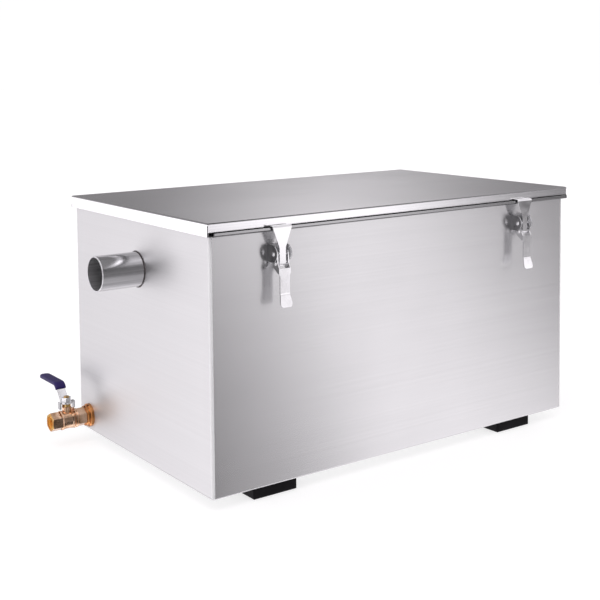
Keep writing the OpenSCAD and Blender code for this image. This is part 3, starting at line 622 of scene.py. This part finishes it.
def polish(name, dark, light, rough):
    """Tumbled and polished steel: slow clouds in tone and gloss, and a very fine peel."""
    material, tree, shader = new_finish(name)
    cloud = noise(tree, 90.0, 4.0, 0.55)
    peel = noise(tree, 420.0, 2.0, 0.5)
    two_tone(tree, shader, cloud, (0.3, 0.7), dark, light)
    tree.links.new(spread(tree, cloud, *rough), shader.inputs["Roughness"])
    relief(tree, shader, peel, 0.03, 0.3 * MM)
    shader.inputs["Metallic"].default_value = 1.0
    return material


latch_polish = polish("latch_polish", (0.78, 0.78, 0.79), (0.88, 0.88, 0.89), (0.08, 0.16))
tip_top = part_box("latch_front_left_lever")[0].z + TIP_H
# Painted highlight on the lever's tip.
stain_and_painted_light(latch_polish, within(latch_polish.node_tree, "Z", 0, tip_top, 0.4 * MM), grey(1.12))
for side in ("left", "right"):
    # Painted shade: the dark tone stays on the cheeks' outer faces, and within them the base is
    # lightened.
    shaded_base_steel = polish(f"shaded_base_steel_{side}", (0.22, 0.22, 0.225), (0.35, 0.35, 0.36), (0.26, 0.36))
    base_mid, base_half = middle_and_half(f"latch_front_{side}_base")
    inside = within(shaded_base_steel.node_tree, "X", base_mid.x, base_half.x - CHEEK_SHADE_DEPTH, 0.2 * MM)
    stain_and_painted_light(shaded_base_steel, inside, grey(2.4))
    patch(shaded_base_steel, inside, "Metallic", 0.45)
    patch(shaded_base_steel, inside, "Roughness", 0.5)
    for face in ("front", "back"):
        dress(shaded_base_steel, f"latch_{face}_{side}_base")
        for piece in ("lever", "hook", "pivot_pin", "link_pin"):
            dress(latch_polish, f"latch_{face}_{side}_{piece}")

# Studio: a pale table in a white cove, and a room of soft fields of light that the part sees.
# Bearings go round from the front, positive to the right, and heights go up from level, both in
# degrees. right, front and up are the parts of a direction. The side towards the camera is dim,
# and a slanted band in front is the main light.
world = bpy.data.worlds.new("studio")
bpy.context.scene.world = world
world.use_nodes = True
room = world.node_tree
room.nodes.clear()

# Strength of the room without its fields, and the least that they may leave of it
ROOM_LIGHT = 0.95
LEAST_LIGHT = 0.06


def combine(operation, first, second=0.0):
    """One sum of two node outputs or numbers."""
    made = place(room, "ShaderNodeMath", (-300, 0), operation=operation)
    feed(room, first, made.inputs[0])
    feed(room, second, made.inputs[1])
    return made.outputs[0]


def over(source, at, soft):
    """Rises smoothly from 0 to 1 as the source passes a value."""
    step = place(room, "ShaderNodeMapRange", (-600, 0), interpolation_type="SMOOTHSTEP")
    step.inputs["From Min"].default_value = at - soft
    step.inputs["From Max"].default_value = at + soft
    room.links.new(source, step.inputs["Value"])
    return step.outputs["Result"]


def under(source, at, soft):
    """Falls smoothly from 1 to 0 as the source passes a value."""
    return combine("SUBTRACT", 1.0, over(source, at, soft))


def between(source, low, high, low_soft, high_soft):
    """1 from low to high and 0 outside, each side with its own softness."""
    return combine("MULTIPLY", over(source, low, low_soft), under(source, high, high_soft))


def leaning(lean):
    """The bearing, moved by lean degrees for each degree of height."""
    return combine("ADD", bearing, combine("MULTIPLY", height, lean))


def field(strength, *masks):
    """A field of light: its strength times all its masks."""
    made = strength
    for mask in masks:
        made = combine("MULTIPLY", mask, made)
    return made


ray = place(room, "ShaderNodeTexCoord", (-1400, 0))
split = place(room, "ShaderNodeSeparateXYZ", (-1200, 0))
room.links.new(ray.outputs["Generated"], split.inputs[0])
right, back, up = split.outputs
front = combine("MULTIPLY", back, -1.0)
bearing = combine("DEGREES", combine("ARCTAN2", right, front))
height = combine("DEGREES", combine("ARCSINE", up))

dim_foot = combine("MULTIPLY", over(up, -0.74, 0.08), over(right, 0.15, 0.15))
dim_foot = combine("MAXIMUM", over(up, -0.33, 0.08), dim_foot)
band_left = combine("MAXIMUM", over(leaning(0.35), 31.0, 3.0), over(leaning(2.75), 7.0, 3.0))
band_right = under(leaning(0.9), 36, 5.5)
fields = {
    "dim_side": field(
        -0.84,
        between(right, -0.72, 0.465, 0.10, 0.03),
        over(front, -0.05, 0.15),
        dim_foot,
        under(up, 0.58, 0.08),
    ),
    "panel_ahead": field(
        0.55,
        between(right, -0.24, 0.24, 0.05, 0.05),
        over(front, 0.3, 0.1),
        between(up, -0.30, 0.26, 0.08, 0.08),
    ),
    "dim_strip_above": field(
        -0.76, between(right, 0.38, 0.54, 0.03, 0.03), between(up, 0.58, 0.97, 0.08, 0.02)
    ),
    "dim_floor_right": field(-0.54, between(bearing, 28, 80, 2, 6), under(height, -1, 4)),
    "band_foot": field(0.12, between(bearing, 26, 38, 3, 4), under(height, -17, 4)),
    "band": field(1.00, band_left, band_right, over(bearing, 20, 4), under(height, -3, 4)),
    "dim_skirt_right": field(-0.30, between(bearing, 45, 80, 4, 6), between(height, -8.5, 3, 2, 2)),
    "latch_left": field(0.45, between(bearing, 32, 44, 3, 4), between(height, -3, 10.5, 3, 2)),
    "latch_right": field(0.40, between(bearing, 44, 75, 4, 6), between(height, 4, 9.5, 4, 2.5)),
    "lamp_above_left": field(1.60, between(bearing, -80, -5, 8, 8), between(up, 0.72, 0.95, 0.08, 0.03)),
    "dim_behind": field(-0.70, between(bearing, 105, 176, 5, 4), between(height, -6, 34, 4, 6)),
    "lid_sheen": field(0.76, between(bearing, 136.5, 147.5, 6, 6), between(height, 7, 34, 1.8, 6)),
    "end_light": field(1.05, between(bearing, -148, -100, 7, 6), under(height, 2, 6)),
    "dim_end_far": field(-0.42, between(bearing, -172, -152, 6, 4), under(height, -10, 2)),
    "end_skirt": field(0.25, between(bearing, -166, -149, 4, 5), between(height, -9.5, -1, 1.5, 3)),
}
light = ROOM_LIGHT
for part in fields.values():
    light = combine("ADD", part, light)
shine = place(room, "ShaderNodeBackground", (0, 0))
shine.inputs["Color"].default_value = (1.0, 0.967, 1.0, 1)
room.links.new(combine("MAXIMUM", light, LEAST_LIGHT), shine.inputs["Strength"])
sky = place(room, "ShaderNodeOutputWorld", (200, 0))
room.links.new(shine.outputs[0], sky.inputs["Surface"])


def glowing(name, tone, roughness, glow):
    """A plain surface that glows white."""
    material, _, shader = new_finish(name)
    shader.inputs["Base Color"].default_value = (*grey(tone), 1)
    shader.inputs["Roughness"].default_value = roughness
    shader.inputs["Emission Color"].default_value = (1, 1, 1, 1)
    shader.inputs["Emission Strength"].default_value = glow
    return material


# The table is a wide pale sheet that glows a little, as a light table does. Mirror-like steel
# sees the room past it.
grid = np.linspace(-30, 30, 7)
grid_x, grid_y = np.meshgrid(grid, grid, indexing="ij")
table = sheet_mesh("table", np.stack([grid_x, grid_y, 0 * grid_x], -1))
table.data.materials.append(glowing("table_white", 0.40, 0.9, 0.70))
table.visible_glossy = False

# The cove is a white wall all round, far off, that only the camera sees.
COVE_R = 29
COVE_H = 24
turn, rise = np.meshgrid(np.linspace(0, 2 * np.pi, 49)[:-1], np.linspace(0, COVE_H, 4), indexing="ij")
cove_points = np.stack([COVE_R * np.sin(turn), COVE_R * np.cos(turn), rise], -1)
cove = sheet_mesh("cove", cove_points, closed_u=True)
cove.data.materials.append(glowing("cove_white", 0.0, 1.0, 1.0))
cove.visible_glossy = False
cove.visible_diffuse = False
cove.visible_transmission = False
cove.visible_shadow = False

# Camera: at the photograph's height and angle, level but for a small tilt, with the lens moved
# down so that the upright edges stay upright.
CAMERA_AT = (-1.07764, -1.44544, 0.58201)
CAMERA_YAW = -35.813
CAMERA_PITCH = 90 - 4.249
CAMERA_ROLL = -0.502

camera = bpy.data.objects.new("camera", bpy.data.cameras.new("camera"))
bpy.context.scene.collection.objects.link(camera)
camera.data.sensor_width = 36
camera.data.lens = 67.71
camera.data.shift_y = -0.25
camera.data.clip_end = 200
camera.matrix_world = (
    Matrix.Translation(CAMERA_AT)
    @ Matrix.Rotation(math.radians(CAMERA_YAW), 4, "Z")
    @ Matrix.Rotation(math.radians(CAMERA_PITCH), 4, "X")
    @ Matrix.Rotation(math.radians(CAMERA_ROLL), 4, "Z")
)
bpy.context.scene.camera = camera
bpy.context.scene.view_settings.view_transform = "Standard"
